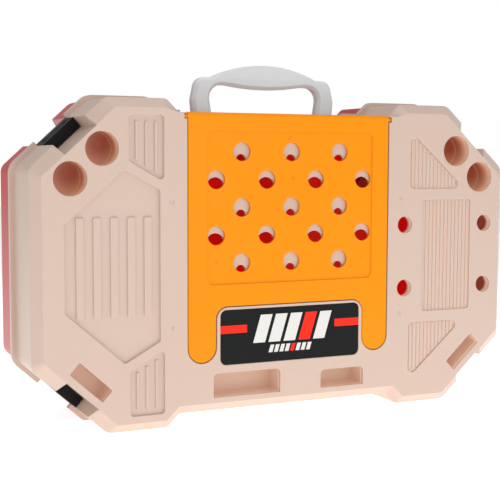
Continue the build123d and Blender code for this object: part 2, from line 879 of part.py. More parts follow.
with BuildPart() as pegboard_panel:
    with BuildSketch(facing(face_y)):
        panel_outline(hinge_height)
    extrude(amount=-panel_thickness)
    chamfer(pegboard_panel.faces().sort_by(Axis.Y)[0].edges(), panel_edge_chamfer)
    with BuildSketch(facing(face_y)):
        with Locations((0, (inset_top - inset_bottom) / 2)):
            RectangleRounded(2 * inset_half_width, inset_top + inset_bottom, inset_radius)
    extrude(amount=-inset_depth, mode=Mode.SUBTRACT)
    with BuildSketch(Plane.YZ):
        with Locations((face_y + hinge_inset, middle + hinge_height)):
            Circle(hinge_bead_radius)
    extrude(amount=panel_half_width, both=True)
    with BuildSketch(Plane.YZ):
        with Locations((face_y + hinge_inset, middle + hinge_height)):
            Circle(pivot_radius)
    extrude(amount=pivot_reach, both=True)
    with BuildSketch(facing(face_y)):
        with Locations(peg_points(range(5))):
            Circle(peg_hole_radius)
    extrude(amount=-panel_thickness, mode=Mode.SUBTRACT)
pegboard_panel.part.label = "pegboard_panel"
export_step(pegboard_panel.part, "parts/pegboard_panel.step")

with BuildPart() as label_plate:
    with BuildSketch(facing(face_y + label_recess - label_thickness)):
        label_outline()
    extrude(amount=-label_thickness)
label_plate.part.label = "label_plate"
export_step(label_plate.part, "parts/label_plate.step")

with BuildPart() as carry_handle:
    outer_side = [
        (handle_crown_start, handle_shoulder),
        (handle_half_width - handle_shoulder_inset, handle_shoulder),
        (handle_half_width, handle_widest),
        (handle_foot_outer, centre_half_height),
        (handle_foot_outer, handle_pivot_height),
    ]
    inner_side = [
        (handle_foot_inner, handle_pivot_height),
        (handle_foot_inner, centre_half_height),
        (handle_inner, handle_widest),
        (handle_inner, handle_underside + handle_bulge),
        (handle_underside_half, handle_underside + handle_bulge),
    ]
    outer_bends = [handle_corner_radius, handle_bend_radius, handle_bend_radius]
    inner_bends = [handle_bend_radius, handle_bend_radius, handle_inside_radius]
    with BuildSketch(facing(handle_y)):
        with BuildLine():
            for flip in (-1, 1):
                FilletPolyline(*[(flip * x, z) for x, z in outer_side], radius=outer_bends)
                FilletPolyline(*[(flip * x, z) for x, z in inner_side], radius=inner_bends)
                Line(
                    (flip * handle_foot_outer, handle_pivot_height),
                    (flip * handle_foot_inner, handle_pivot_height),
                )
            ThreePointArc(
                (-handle_crown_start, handle_shoulder),
                (0, handle_top),
                (handle_crown_start, handle_shoulder),
            )
            ThreePointArc(
                (-handle_underside_half, handle_underside + handle_bulge),
                (0, handle_underside),
                (handle_underside_half, handle_underside + handle_bulge),
            )
        make_face()
    extrude(amount=handle_thickness / 2, both=True)
    arch_edges = carry_handle.faces().filter_by(Axis.Y).edges()
    arch_edges = arch_edges.filter_by_position(
        Axis.Z, middle + handle_pivot_height + 1, middle + handle_top + 1
    )
    chamfer(arch_edges, handle_edge_chamfer)
    # Above the crease both faces of the crown lean in
    with BuildSketch(Plane.YZ):
        for flip in (-1, 1):
            grip_face = handle_y + flip * handle_thickness / 2
            with BuildLine() as crown_wedge:
                Polyline(
                    (grip_face, middle + handle_crease),
                    (grip_face - flip * handle_crown_lean, middle + handle_top + cut_margin),
                    (grip_face + flip, middle + handle_top + cut_margin),
                    (grip_face + flip, middle + handle_crease),
                    (grip_face, middle + handle_crease),
                )
            make_face(crown_wedge.edges())
    extrude(amount=handle_half_width, both=True, mode=Mode.SUBTRACT)
    for side in (-1, 1):
        with BuildSketch(Plane.YZ.offset(side * handle_foot_middle)):
            with Locations((handle_y, middle + handle_pivot_height)):
                Circle(handle_thickness / 2)
        extrude(amount=handle_foot_width / 2, both=True)
        with BuildSketch(Plane.YZ.offset(side * handle_foot_middle)):
            with Locations((handle_y, middle + handle_pivot_height)):
                Circle(handle_pin_radius + pin_clearance)
        extrude(amount=handle_foot_width, both=True, mode=Mode.SUBTRACT)
carry_handle.part.label = "carry_handle"
export_step(carry_handle.part, "parts/carry_handle.step")

with BuildPart() as handle_pins:
    for side in (-1, 1):
        with BuildSketch(Plane.YZ.offset(side * sum(lug_centres) / 2)):
            with Locations((handle_y, middle + handle_pivot_height)):
                Circle(handle_pin_radius)
        extrude(
            amount=(lug_centres[1] - lug_centres[0] + lug_width) / 2 - handle_pin_short, both=True
        )
handle_pins.part.label = "handle_pins"
export_step(handle_pins.part, "parts/handle_pins.step")


def make_latch(side, level):
    """Latch hooked over the ridge of the front shell, flush with the slanted corner."""
    knuckle = latch_pin_y - latch_thickness / 2
    with BuildPart() as latch:
        with BuildSketch(latch_section(side, level)):
            with BuildLine() as edge:
                Polyline(
                    (latch_pin_y, -latch_thickness),
                    (knuckle, -latch_thickness),
                    (knuckle - lip_width, -latch_plate_thickness),
                    (latch_front + lip_width, -latch_plate_thickness),
                    (latch_front + lip_width, -latch_thickness),
                    (latch_front, -latch_thickness),
                    (latch_front, 0),
                    (latch_pin_y, 0),
                )
                ThreePointArc(
                    (latch_pin_y, 0),
                    (latch_pin_y + latch_thickness / 2, -latch_thickness / 2),
                    (latch_pin_y, -latch_thickness),
                )
            make_face(edge.edges())
            with Locations((latch_pin_y, -latch_thickness / 2)):
                Circle(latch_pin_radius + pin_clearance, mode=Mode.SUBTRACT)
        extrude(amount=latch_recess_length / 2 - latch_gap, both=True)
        with BuildSketch(corner_plane(side, level, 0)):
            with Locations((0, latch_front + groove_from_front)):
                Rectangle(latch_recess_length - 2 * groove_from_end, groove_width)
                Rectangle(
                    latch_recess_length - 2 * groove_from_end - groove_width,
                    groove_width / 3,
                    mode=Mode.SUBTRACT,
                )
        extrude(amount=-groove_depth, mode=Mode.SUBTRACT)
    return latch.part


for side, level in corners:
    latch_name = f"latch_{'top' if level > 0 else 'bottom'}_{'right' if side > 0 else 'left'}"
    latch_part = make_latch(side, level)
    latch_part.label = latch_name
    export_step(latch_part, f"parts/{latch_name}.step")

with BuildPart() as latch_pins:
    for side, level in corners:
        with BuildSketch(latch_section(side, level)):
            with Locations((latch_pin_y, -latch_thickness / 2)):
                Circle(latch_pin_radius)
        extrude(amount=latch_recess_length / 2 + latch_pin_overhang - pin_clearance, both=True)
latch_pins.part.label = "latch_pins"
export_step(latch_pins.part, "parts/latch_pins.step")

hammer_top = hammer_head_height + hammer_head_radius
hammer_neck_top = hammer_head_height + hammer_neck_radius

with BuildPart() as hammer_head:
    half = hammer_head_length / 2
    with BuildSketch(facing(tool_y)):
        with BuildLine() as head_profile:
            Polyline(
                (hammer_x + half, hammer_head_height),
                (hammer_x + half, hammer_top - hammer_edge),
                (hammer_x + half - hammer_edge, hammer_top),
                (hammer_x + half - hammer_neck_length, hammer_top),
                (hammer_x + half - hammer_neck_length - hammer_neck_slope, hammer_neck_top),
                (hammer_x - half / 2, hammer_neck_top),
                (hammer_x - half, hammer_head_height + hammer_tip_radius),
                (hammer_x - half, hammer_head_height),
                (hammer_x + half, hammer_head_height),
            )
        make_face(head_profile.edges())
    revolve(axis=Axis((hammer_x, tool_y, middle + hammer_head_height), (1, 0, 0)))
    vertical_rod(
        hammer_x,
        hammer_shaft_radius + hammer_socket_wall,
        hammer_head_height - hammer_neck_radius - hammer_socket_wall,
        hammer_neck_top + hammer_edge,
    )
    with BuildSketch(Plane.XY.offset(middle + hammer_head_height - 2 * hammer_head_radius)):
        with Locations((hammer_x, tool_y)):
            Circle(hammer_shaft_radius + tool_gap / 2)
    extrude(amount=4 * hammer_head_radius, mode=Mode.SUBTRACT)
hammer_head.part.label = "hammer_head"
export_step(hammer_head.part, "parts/hammer_head.step")

with BuildPart() as hammer_handle:
    vertical_rod(hammer_x, hammer_shaft_radius, -hammer_low, hammer_top)
    with BuildSketch(facing(tool_y)):
        grip_end = hammer_grip_length - hammer_low
        with BuildLine() as grip_profile:
            Polyline(
                (hammer_x, grip_end + hammer_grip_slope),
                (hammer_x + hammer_shaft_radius, grip_end + hammer_grip_slope),
                (hammer_x + hammer_grip_radius, grip_end),
                (hammer_x + hammer_grip_radius, hammer_grip_edge - hammer_low),
                (hammer_x + hammer_grip_radius - hammer_grip_edge, -hammer_low),
                (hammer_x, -hammer_low),
                (hammer_x, grip_end + hammer_grip_slope),
            )
        make_face(grip_profile.edges())
    revolve(axis=Axis((hammer_x, tool_y, 0), (0, 0, 1)))
hammer_handle.part.label = "hammer_handle"
export_step(hammer_handle.part, "parts/hammer_handle.step")

with BuildPart() as screwdriver_grip:
    with BuildSketch(facing(tool_y)):
        with BuildLine() as grip_profile:
            Polyline(
                (driver_x, driver_grip_low),
                (driver_x + driver_collar_radius, driver_grip_low),
                (driver_x + driver_waist_radius, driver_grip_low + driver_waist_length),
                (driver_x + driver_grip_radius, driver_grip_low + 2 * driver_waist_length),
                (driver_x + driver_grip_radius, driver_grip_high - driver_end_radius),
            )
            RadiusArc(
                (driver_x + driver_grip_radius, driver_grip_high - driver_end_radius),
                (driver_x + driver_grip_radius - driver_end_radius, driver_grip_high),
                -driver_end_radius,
            )
            Polyline(
                (driver_x + driver_grip_radius - driver_end_radius, driver_grip_high),
                (driver_x, driver_grip_high),
                (driver_x, driver_grip_low),
            )
        make_face(grip_profile.edges())
    revolve(axis=Axis((driver_x, tool_y, 0), (0, 0, 1)))
    with BuildSketch(Plane.XY.offset(middle + driver_grip_low + driver_flute_low)):
        with Locations((driver_x, tool_y)):
            with PolarLocations(driver_grip_radius + driver_flute_offset, driver_flute_count):
                Circle(driver_flute_radius)
    extrude(amount=driver_flute_length, mode=Mode.SUBTRACT)
    with BuildSketch(Plane.XY.offset(middle + driver_grip_low)):
        with Locations((driver_x, tool_y)):
            Circle(driver_shaft_radius + pin_clearance)
    extrude(amount=driver_shaft_inside + pin_clearance, mode=Mode.SUBTRACT)
screwdriver_grip.part.label = "screwdriver_grip"
export_step(screwdriver_grip.part, "parts/screwdriver_grip.step")

with BuildPart() as screwdriver_shaft:
    vertical_rod(
        driver_x, driver_shaft_radius, driver_shaft_low, driver_grip_low + driver_shaft_inside
    )
    with BuildSketch(Plane.YZ.offset(driver_x)):
        for flip in (-1, 1):
            with BuildLine() as tip_wedge:
                Polyline(
                    (tool_y + flip * driver_tip_thickness / 2, middle + driver_shaft_low - 1),
                    (tool_y + flip * (driver_shaft_radius + 1), middle + driver_shaft_low - 1),
                    (
                        tool_y + flip * (driver_shaft_radius + 1),
                        middle + driver_shaft_low + driver_tip_length,
                    ),
                    (
                        tool_y + flip * driver_shaft_radius,
                        middle + driver_shaft_low + driver_tip_length,
                    ),
                    (tool_y + flip * driver_tip_thickness / 2, middle + driver_shaft_low - 1),
                )
            make_face(tip_wedge.edges())
    extrude(amount=2 * driver_shaft_radius, both=True, mode=Mode.SUBTRACT)
screwdriver_shaft.part.label = "screwdriver_shaft"
export_step(screwdriver_shaft.part, "parts/screwdriver_shaft.step")

with BuildPart() as spanner:
    with BuildSketch(facing(tool_y)):
        with Locations((spanner_x, (spanner_low + spanner_high) / 2)):
            Rectangle(spanner_width, spanner_high - spanner_low)
        with Locations((spanner_x, spanner_low), (spanner_x, spanner_high)):
            Circle(spanner_head_radius)
        with Locations((spanner_x, spanner_low)):
            RegularPolygon(spanner_jaw / 2, 6, major_radius=False, mode=Mode.SUBTRACT)
        with Locations((spanner_x, spanner_high + spanner_head_radius / 2)):
            Rectangle(
                spanner_jaw, spanner_head_radius + 2 * spanner_jaw_floor, mode=Mode.SUBTRACT
            )
    extrude(amount=spanner_thickness / 2, both=True)
spanner.part.label = "spanner"
export_step(spanner.part, "parts/spanner.step")

saw_teeth = int(saw_length / saw_tooth_pitch)
with BuildPart() as saw_blade:
    with BuildSketch(facing(tool_y)):
        slope = (saw_heel_width - saw_toe_width) / saw_length
        teeth = []
        for tooth in range(saw_teeth):
            x = saw_left + tooth * saw_tooth_pitch
            edge_z = saw_back - saw_toe_width - slope * (x - saw_left)
            teeth += [(x, edge_z), (x + saw_tooth_pitch, edge_z - saw_tooth_depth)]
        end = teeth[-1]
        tang_low = saw_back - saw_grip_height / 2
        with BuildLine() as blade_edge:
            Polyline(
                (saw_left, saw_back),
                *teeth,
                (end[0], tang_low),
                (end[0] + saw_tang, tang_low),
                (end[0] + saw_tang, saw_back - saw_tang_drop),
                (end[0], saw_back - saw_tang_drop),
                (end[0], saw_back),
                (saw_left, saw_back),
            )
        make_face(blade_edge.edges())
    extrude(amount=saw_blade_thickness / 2, both=True)
saw_blade.part.label = "saw_blade"
export_step(saw_blade.part, "parts/saw_blade.step")

with BuildPart() as saw_grip:
    grip_x = saw_heel + saw_grip_length / 2 + tool_gap / 2
    grip_z = saw_back - saw_grip_height / 2 + saw_grip_rise
    tang_top = saw_back - saw_tang_drop
    with BuildSketch(facing(tool_y)):
        with Locations((grip_x, grip_z)):
            RectangleRounded(saw_grip_length, saw_grip_height, saw_grip_radius)
        with Locations((grip_x + saw_loop_shift, grip_z)):
            RectangleRounded(
                saw_loop_length, saw_loop_height, saw_loop_radius, mode=Mode.SUBTRACT
            )
    extrude(amount=saw_grip_thickness / 2, both=True)
    chamfer(saw_grip.faces().filter_by(Axis.Y).edges(), saw_grip_chamfer)
    with BuildSketch(facing(tool_y)):
        with Locations((saw_heel + saw_tang / 2, (tang_low + tang_top) / 2)):
            Rectangle(saw_tang + tool_gap, tang_top - tang_low + tool_gap)
    extrude(amount=saw_blade_thickness / 2 + pin_clearance, both=True, mode=Mode.SUBTRACT)
saw_grip.part.label = "saw_grip"
export_step(saw_grip.part, "parts/saw_grip.step")

with BuildPart() as toy_bolts:
    with BuildSketch(facing(socket_front - tool_gap)):
        with Locations(bolt_points):
            RegularPolygon(bolt_head_radius, 6)
    extrude(amount=bolt_head_height)
    with BuildSketch(facing(socket_front - tool_gap)):
        with Locations(bolt_points):
            Circle(bolt_radius)
    extrude(amount=-bolt_length)
toy_bolts.part.label = "toy_bolts"
export_step(toy_bolts.part, "parts/toy_bolts.step")

with BuildPart() as toy_nuts:
    with BuildSketch(facing(nut_seat_y - tool_gap)):
        with Locations(nut_points):
            RegularPolygon(nut_radius, 6)
            Circle(nut_bore, mode=Mode.SUBTRACT)
    extrude(amount=nut_height)
toy_nuts.part.label = "toy_nuts"
export_step(toy_nuts.part, "parts/toy_nuts.step")
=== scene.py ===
import json
import math
from functools import cached_property

import bpy
import numpy as np
from mathutils import Matrix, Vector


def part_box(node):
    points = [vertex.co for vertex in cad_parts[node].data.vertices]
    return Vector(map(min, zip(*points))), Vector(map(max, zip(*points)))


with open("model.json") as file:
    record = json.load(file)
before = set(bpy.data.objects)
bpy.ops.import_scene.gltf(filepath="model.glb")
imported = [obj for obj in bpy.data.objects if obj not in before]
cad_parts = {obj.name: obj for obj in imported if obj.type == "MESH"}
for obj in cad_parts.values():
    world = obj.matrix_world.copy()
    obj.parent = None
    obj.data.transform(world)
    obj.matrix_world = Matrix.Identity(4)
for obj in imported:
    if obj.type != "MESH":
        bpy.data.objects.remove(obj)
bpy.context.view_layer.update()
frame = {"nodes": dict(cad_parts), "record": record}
nodes = frame["nodes"]
labelInset = 0.0001  # the label's front lies this far behind the face
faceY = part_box("label_plate")[0].y - labelInset
midHeight = sum(corner.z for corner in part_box("rear_shell")) / 2
print("frame loaded:", len(nodes), "nodes")


# Shader maths. A Signal is one socket, and an expression of signals adds its Math nodes
class Signal:
    def __init__(self, finish, socket):
        self.finish = finish
        self.socket = socket

    def __add__(self, other):
        return self.finish.maths("ADD", self, other)

    def __sub__(self, other):
        return self.finish.maths("SUBTRACT", self, other)

    def __rsub__(self, other):
        return self.finish.maths("SUBTRACT", other, self)

    def __mul__(self, other):
        return self.finish.maths("MULTIPLY", self, other)

    def __truediv__(self, other):
        return self.finish.maths("DIVIDE", self, other)

    def __abs__(self):
        return self.finish.maths("ABSOLUTE", self)

    def __lt__(self, other):
        return self.finish.maths("LESS_THAN", self, other)

    def __gt__(self, other):
        return self.finish.maths("GREATER_THAN", self, other)

    __radd__ = __add__
    __rmul__ = __mul__


# The nodes of a material or of the world, under construction
class Finish:
    def __init__(self, owner, outputKind="ShaderNodeOutputMaterial"):
        owner.use_nodes = True
        self.owner = owner
        self.outputKind = outputKind
        self.tree = owner.node_tree
        self.tree.nodes.clear()

    # Makes any node: its settings first, then the values or links of its sockets
    def node(self, kind, settings=None, inputs=None, out=0):
        made = self.tree.nodes.new(kind)
        for key, value in (settings or {}).items():
            setattr(made, key, value)
        for key, value in (inputs or {}).items():
            if isinstance(value, Signal):
                self.tree.links.new(value.socket, made.inputs[key])
            else:
                made.inputs[key].default_value = value
        return Signal(self, made.outputs[out]) if out is not None else made

    @cached_property
    def place(self):
        return self.node("ShaderNodeTexCoord", out="Object")

    def maths(self, operation, *values):
        return self.node("ShaderNodeMath", {"operation": operation}, dict(enumerate(values)))

    def vector(self, operation, *values, out=0):
        return self.node("ShaderNodeVectorMath", {"operation": operation}, dict(enumerate(values)), out)

    def mix(self, factor, first, second):
        settings = {"data_type": "RGBA", "clamp_factor": True}
        return self.node("ShaderNodeMix", settings, {0: factor, 6: first, 7: second}, 2)

    def noise(self, scale, detail=2.0):
        inputs = {"Vector": self.place, "Scale": scale, "Detail": detail}
        return self.node("ShaderNodeTexNoise", None, inputs)

    def axes(self, place=None):
        split = self.node("ShaderNodeSeparateXYZ", None, {0: place or self.place}, None)
        return [Signal(self, socket) for socket in split.outputs]

    # Length of a step of x across and z up
    def length(self, x, z):
        return self.vector("LENGTH", self.node("ShaderNodeCombineXYZ", None, {0: x, 2: z}), out=1)

    # Smooth step of a signal from low to high
    def ramp(self, signal, low, high):
        settings = {"interpolation_type": "SMOOTHSTEP"}
        return self.node("ShaderNodeMapRange", settings, {0: signal, 1: low, 2: high})

    def bump(self, height, strength, distance, over=None):
        inputs = {"Strength": strength, "Distance": distance, "Height": height}
        if over:
            inputs["Normal"] = over
        return self.node("ShaderNodeBump", None, inputs)

    # Ends the tree with a shader and gives its owner back
    def output(self, kind, inputs):
        shader = self.node(kind, None, inputs)
        self.node(self.outputKind, {"is_active_output": True}, {"Surface": shader}, None)
        return self.owner


def tone(*colour):
    return (*colour, 1.0)


# Detail that every moulded piece has
mould = {
    "edgeSamples": 6,
    "edgeHighlightTurn": (0.01, 0.22),  # turn of the softened edge from the flat, for no painted highlight and for the full one
    "driftDetail": 3.0,
    "scuffScale": 170.0,
    "scuffDetail": 6.0,
    "scuffCut": (0.60, 0.72),
    "patchScale": 9.0,
    "patchCut": (0.45, 0.7),
    "scuffRoughness": 0.12,
    "driftRoughness": 0.05,
    "grainDepth": 0.0002,
    "refraction": 1.5,
    "markTint": 0.4,
    "markStrength": 0.9,
    "markDepth": 0.0005,
}


# Moulded plastic: colour drifts slowly over the piece, edges are softened and carry a painted highlight,
# a little paler, and the skin has a fine grain. Marks are small round moulding marks
def mouldedPlastic(name, look, paint=None, marks=None, paintedLight=None):
    finish = Finish(bpy.data.materials.new(name))
    edge = finish.node("ShaderNodeBevel", {"samples": mould["edgeSamples"]}, {"Radius": look["edge"]})
    flat = finish.node("ShaderNodeNewGeometry", out="Normal")
    # painted highlight: how far each point lies on a softened edge, where the colour is painted paler
    edgeHighlight = finish.ramp(1 - finish.vector("DOT_PRODUCT", edge, flat, out=1), *mould["edgeHighlightTurn"])
    drift = finish.noise(look["driftScale"], mould["driftDetail"])
    scratches = finish.ramp(finish.noise(mould["scuffScale"], mould["scuffDetail"]), *mould["scuffCut"])
    scuff = scratches * finish.ramp(finish.noise(mould["patchScale"]), *mould["patchCut"])
    base = finish.mix(drift, tone(*look["dark"]), tone(*look["light"]))
    if paint:
        base = paint(finish, base)
    skin = edge
    if marks:
        height = marks(finish)
        # the marks are painted paler too, in the edge highlight's tone
        base = finish.mix(height * mould["markTint"], base, tone(*look["highlightTone"]))
        skin = finish.bump(height, mould["markStrength"], mould["markDepth"], edge)
    grain = finish.noise(look["grainScale"])
    rubbed = look["roughness"] + scuff * mould["scuffRoughness"] + drift * mould["driftRoughness"]
    inputs = {
        "Base Color": finish.mix(edgeHighlight * look["edgeHighlight"], base, tone(*look["highlightTone"])),
        "Roughness": rubbed,
        "Normal": finish.bump(grain, look["grain"], mould["grainDepth"], skin),
        "IOR": mould["refraction"],
        "Specular IOR Level": look["specular"],
        "Coat Weight": look["coat"],
        "Coat Roughness": look["coatRoughness"],
    }
    # painted light: an emission colour that makes the piece glow where it is given
    if paintedLight:
        inputs |= {"Emission Color": paintedLight(finish), "Emission Strength": 1.0}
    return finish.output("ShaderNodeBsdfPrincipled", inputs)


# Moulding marks, at places across and up from mid-height, in metres
ring = {
    "radius": 0.0013,
    "line": (0.0002, 0.0006),
    "nub": (0.0001, 0.0005),
    "behindFace": 0.0015,
    "beige": [(side * 0.103, up * 0.049) for side in (-1, 1) for up in (-1, 1)],
    "orange": [(-0.0018, 0.0987), (0.0006, 0.0663), (-0.0660, 0.0010), (0.0652, 0.0015)],
}


# Small ring with a nub in it round each of the places
def ringMarks(places):
    def marks(finish):
        x, y, z = finish.axes()
        height = 0
        for across, up in places:
            distance = finish.length(x - across, z - midHeight - up)
            height = height + (1 - finish.ramp(abs(distance - ring["radius"]), *ring["line"]))
            height = height + (1 - finish.ramp(distance, *ring["nub"]))
        return height * (y < faceY + ring["behindFace"])

    return marks


cups = {
    "centres": [(0.1585, 0.0898), (0.1830, 0.0674)],
    "radius": 0.0134,
    "depth": 0.017,
    # colour of the painted shade at the cup floors
    "deep": (0.31, 0.060, 0.018),
}


# Distance in X and Z from the nearest cup's middle line, or from a line that far from it
def fromCups(finish, shift=(0.0, 0.0)):
    x, _, z = finish.axes()
    nearest = 1.0
    for across, up in cups["centres"]:
        for side in (-1, 1):
            distance = finish.length(x - (side * across + shift[0]), z - (midHeight + up + shift[1]))
            nearest = finish.maths("MINIMUM", distance, nearest)
    return nearest


# One inside the round cups, nought elsewhere
def inCups(finish):
    return fromCups(finish) < cups["radius"]


# Nought at the mouth of the cups, one at their floors
def cupDepth(finish):
    return finish.ramp(finish.axes()[1], faceY, faceY + cups["depth"])


# Painted shade: the cups darken to a deep red-brown towards their floors
def shadeCups(finish, base):
    return finish.mix(inCups(finish) * cupDepth(finish), base, tone(*cups["deep"]))


# Painted warm light in what is sunk into the face. Lengths are metres from the middle or behind the face
sunken = {
    "halfHeight": 0.1075,
    "halfWidth": 0.198,
    "panelSide": 0.0925,
    "panelFoot": -0.0866,
    "starts": (0.0021, 0.0034),
    "ends": 0.0235,
    "holesBelow": 0.05,  # the bench holes go right through, this near mid-height
    "holesEnd": 0.0068,
    "reedsFrom": 0.1,
    "reedLift": 0.0013,  # lets the shallow floors between the reeds count as grooves
    "grooveEnds": 0.0045,
    # emission colours of the painted light; the dark cup floor is painted shade
    "groove": (0.27, 0.180, 0.130),
    "open": (0.125, 0.070, 0.046),
    "cupWall": (0.22, 0.105, 0.045),
    "cupFloor": (0.04, 0.006, 0.001),
    "cupFloorEdge": (0.27, 0.145, 0.085),
    "cupShade": (0.0035, 0.0035),
    "cupShadeReach": (0.003, 0.019),
}


# One on the face beside and below the panel, inside the line that touches the cups on the slanted side
def inFace(finish):
    x, _, z = finish.axes()
    up = z - midHeight
    (firstX, firstZ), (lastX, lastZ) = cups["centres"]
    apart = math.hypot(lastX - firstX, lastZ - firstZ)
    leanX, leanZ = (firstZ - lastZ) / apart, (lastX - firstX) / apart
    reach = firstX * leanX + firstZ * leanZ + cups["radius"]
    slanted = abs(x) * leanX + abs(up) * leanZ < reach
    straight = (abs(up) < sunken["halfHeight"]) * (abs(x) < sunken["halfWidth"])
    around = finish.maths("MAXIMUM", abs(x) > sunken["panelSide"], up < sunken["panelFoot"])
    return slanted * straight * around


# Nought on the face and on the floors of its shallow areas, one from the grooves down
def sunkenDepth(finish):
    x, y, z = finish.axes()
    low, high = (faceY + depth for depth in sunken["starts"])
    level = y + (x > sunken["reedsFrom"]) * sunken["reedLift"]
    deep = finish.ramp(level, low, high) * (y < faceY + sunken["ends"])
    clear = abs(z - midHeight) > sunken["holesBelow"]
    return deep * finish.maths("MAXIMUM", clear, y < faceY + sunken["holesEnd"])


# Painted light: the grooves, slots, pockets and cups of the pale plastic glow warm, and each cup floor
# has a painted shadow off its middle that fades towards its rim
def paintSunkenLight(finish):
    # painted shade in the cups: darkest at a spot shifted from each cup's middle, lighter towards the rim
    away = finish.ramp(fromCups(finish, sunken["cupShade"]), *sunken["cupShadeReach"])
    floor = finish.mix(away, tone(*sunken["cupFloor"]), tone(*sunken["cupFloorEdge"]))
    cup = finish.mix(cupDepth(finish), tone(*sunken["cupWall"]), floor)
    pocket = finish.axes()[1] > faceY + sunken["grooveEnds"]
    wide = finish.mix(pocket, tone(*sunken["groove"]), tone(*sunken["open"]))
    colour = finish.mix(inCups(finish), wide, cup)
    return finish.mix(inFace(finish) * sunkenDepth(finish), tone(0, 0, 0), colour)


paintedBackLightLook = {
    "from": 0.045,
    "top": 0.098,
    "facing": -0.7,
    "patchScale": 9.0,
    "patchCut": (0.3, 0.7),
    "dim": (0.26, 0.0, 0.0),
    "bright": (0.50, 0.0, 0.0),
}


# Painted light: the inside of the red half's back wall, below the handle's well, glows red in uneven
# patches
def paintBackLight(finish):
    _, y, z = finish.axes()
    facing = finish.axes(finish.node("ShaderNodeTexCoord", out="Normal"))[1]
    level = finish.ramp(finish.noise(paintedBackLightLook["patchScale"]), *paintedBackLightLook["patchCut"])
    colour = finish.mix(level, tone(*paintedBackLightLook["dim"]), tone(*paintedBackLightLook["bright"]))
    wall = (y > paintedBackLightLook["from"]) * (facing < paintedBackLightLook["facing"])
    return finish.mix(wall * (z < midHeight + paintedBackLightLook["top"]), tone(0, 0, 0), colour)


beigeLook = {
    "dark": (0.640, 0.480, 0.395),
    "light": (0.680, 0.520, 0.432),
    # paler tone of the painted edge highlight
    "highlightTone": (0.80, 0.68, 0.60),
    "edge": 0.0008,
    "edgeHighlight": 0.8,
    "driftScale": 7.0,
    "grainScale": 2600.0,
    "grain": 0.08,
    "roughness": 0.36,
    "specular": 0.5,
    "coat": 0.0,
    "coatRoughness": 0.3,
}
redLook = {
    **beigeLook,
    "dark": (0.50, 0.006, 0.008),
    "light": (0.58, 0.010, 0.012),
    "highlightTone": (0.72, 0.08, 0.06),
    "roughness": 0.30,
}
orangeLook = {
    **beigeLook,
    "dark": (0.97, 0.285, 0.001),
    "light": (1.0, 0.325, 0.003),
    "highlightTone": (1.0, 0.42, 0.03),
    "roughness": 0.30,
    "specular": 0.12,
    "coat": 0.04,
    "coatRoughness": 0.12,
}
greyLook = {
    **beigeLook,
    "dark": (0.72, 0.74, 0.76),
    "light": (0.78, 0.80, 0.82),
    "highlightTone": (0.86, 0.86, 0.86),
    "roughness": 0.32,
}
blackLook = {
    **beigeLook,
    "dark": (0.008, 0.008, 0.009),
    "light": (0.014, 0.014, 0.015),
    "highlightTone": (0.12, 0.12, 0.12),
    "edgeHighlight": 0.9,
    "roughness": 0.42,
    "specular": 0.12,
}
toolGreyLook = {**greyLook, "dark": (0.30, 0.32, 0.34), "light": (0.36, 0.38, 0.40)}
yellowLook = {**orangeLook, "dark": (0.86, 0.56, 0.01), "light": (0.92, 0.62, 0.02), "coat": 0.1}


# Spans are shares of the plate's half width across and of its half height up
label = {
    "stripeAcross": (0.635, 1.1),
    "stripeUp": (0.14, 0.43),
    "slant": 0.105,
    "rows": [
        {"up": (-0.27, 0.76), "across": (-0.52, 0.56), "bars": 5, "share": 0.78, "redBar": (3, 4)},
        {"up": (-0.66, -0.38), "across": (-0.26, 0.36), "bars": 8, "share": 0.7, "redBar": (4, 5)},
    ],
    "black": (0.007, 0.008, 0.009),
    "red": (1.0, 0.028, 0.010),
    "pale": (0.78, 0.78, 0.76),
    "roughness": 0.34,
    "patchScale": 60.0,
    "patchRoughness": 0.08,
    "grainScale": 900.0,
    "grain": 0.05,
    "grainDepth": 0.0002,
    "refraction": 1.45,
    "specular": 0.16,
}


# Printed label: a red stripe at each side and two rows of slanted bars between them
def labelMaterial():
    finish = Finish(bpy.data.materials.new("labelPrint"))
    low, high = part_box("label_plate")
    middle = (low + high) / 2
    across, _, up = finish.axes()
    x = (across - middle.x) / (high.x - middle.x)
    z = (up - middle.z) / (high.z - middle.z)

    def between(signal, span):
        return (signal > span[0]) * (signal < span[1])

    stripe = between(abs(x), label["stripeAcross"]) * between(z, label["stripeUp"])
    base = finish.mix(stripe, tone(*label["black"]), tone(*label["red"]))
    lean = x - z * label["slant"]
    for row in label["rows"]:
        start, end = row["across"]
        step = (lean - start) * (row["bars"] / (end - start))
        bars = (finish.maths("FRACT", step) < row["share"]) * between(lean, row["across"])
        ink = finish.mix(between(step, row["redBar"]), tone(*label["pale"]), tone(*label["red"]))
        base = finish.mix(bars * between(z, row["up"]), base, ink)
    inputs = {
        "Base Color": base,
        "Roughness": label["roughness"] + finish.noise(label["patchScale"]) * label["patchRoughness"],
        "Normal": finish.bump(finish.noise(label["grainScale"]), label["grain"], label["grainDepth"]),
        "IOR": label["refraction"],
        "Specular IOR Level": label["specular"],
    }
    return finish.output("ShaderNodeBsdfPrincipled", inputs)


steel = {
    "dark": (0.45, 0.46, 0.47),
    "light": (0.6, 0.61, 0.62),
    "tintScale": 300.0,
    "grainScale": 4000.0,
    "grainDetail": 1.0,
    "grain": 0.1,
    "grainDepth": 0.0001,
    "roughness": 0.28,
    "grainRoughness": 0.1,
}


# Drawn steel: a slight change of tint and a very fine grain
def steelMaterial():
    finish = Finish(bpy.data.materials.new("drawnSteel"))
    tint = finish.noise(steel["tintScale"])
    grain = finish.noise(steel["grainScale"], steel["grainDetail"])
    inputs = {
        "Base Color": finish.mix(tint, tone(*steel["dark"]), tone(*steel["light"])),
        "Roughness": steel["roughness"] + grain * steel["grainRoughness"],
        "Normal": finish.bump(grain, steel["grain"], steel["grainDepth"]),
        "Metallic": 1.0,
    }
    return finish.output("ShaderNodeBsdfPrincipled", inputs)


